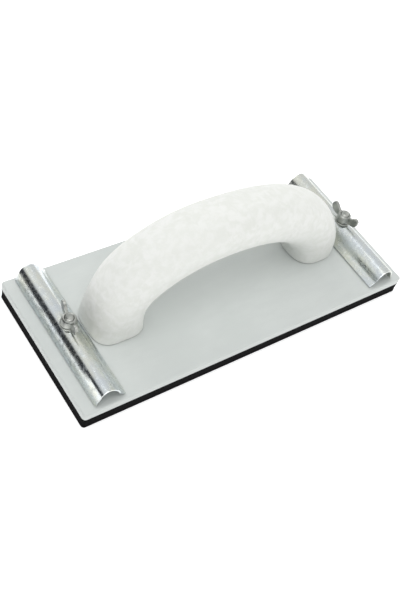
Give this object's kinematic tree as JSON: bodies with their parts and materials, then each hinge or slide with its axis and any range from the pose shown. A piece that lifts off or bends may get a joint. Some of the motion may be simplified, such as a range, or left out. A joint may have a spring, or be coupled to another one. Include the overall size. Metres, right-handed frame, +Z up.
{
  "type": "hand sander",
  "caption": "Hand sanding board with an arched grip, a foam backing pad and two sheet clamp bars held down by wing nuts on bolts.",
  "frame": {"origin": "centre of the pad's sanding face, on the surface the sander rests on", "axes": "+X along the board towards the handle's rounder foot, +Y across the board, +Z up through the handle"},
  "size_m": [0.23, 0.098, 0.0794],
  "materials": {
    "board_plastic": "smooth satin white moulded plastic",
    "grip_plastic": "matte white structural foam plastic, faintly mottled",
    "foam_rubber": "black cellular rubber, matte",
    "bar_zinc": "bright zinc plate on pressed sheet steel",
    "hardware_zinc": "zinc plated steel, slightly dull"
  },
  "bodies": {
    "sander": {"base_board": "board_plastic", "grip_handle": "grip_plastic", "foam_pad": "foam_rubber", "handle_screw_1": "hardware_zinc", "handle_screw_2": "hardware_zinc", "handle_screw_3": "hardware_zinc", "handle_screw_4": "hardware_zinc", "clamp_bolt_left": "hardware_zinc", "clamp_bolt_right": "hardware_zinc"},
    "left_clamp": {"clamp_bar_left": "bar_zinc", "clamp_washer_left": "hardware_zinc"},
    "right_clamp": {"clamp_bar_right": "bar_zinc", "clamp_washer_right": "hardware_zinc"},
    "left_nut": {"wing_nut_left": "hardware_zinc"},
    "right_nut": {"wing_nut_right": "hardware_zinc"}
  },
  "joints": [
    {"name": "left_clamp_lift", "type": "slide", "parent": "sander", "child": "left_clamp", "axis": [0, 0, 1], "range_m": [0, 0.004]},
    {"name": "right_clamp_lift", "type": "slide", "parent": "sander", "child": "right_clamp", "axis": [0, 0, 1], "range_m": [0, 0.004]},
    {"name": "left_nut_turn", "type": "hinge", "parent": "left_clamp", "child": "left_nut", "pos_m": [-0.0993, 0, 0.026], "axis": [0, 0, 1], "range_deg": [0, 1801]},
    {"name": "right_nut_turn", "type": "hinge", "parent": "right_clamp", "child": "right_nut", "pos_m": [0.0993, 0, 0.026], "axis": [0, 0, 1], "range_deg": [0, 1801]}
  ],
  "couplings": [
    {"joint": "left_nut_turn", "follows": "left_clamp_lift", "rad_per_m": 7854},
    {"joint": "right_nut_turn", "follows": "right_clamp_lift", "rad_per_m": 7854}
  ]
}
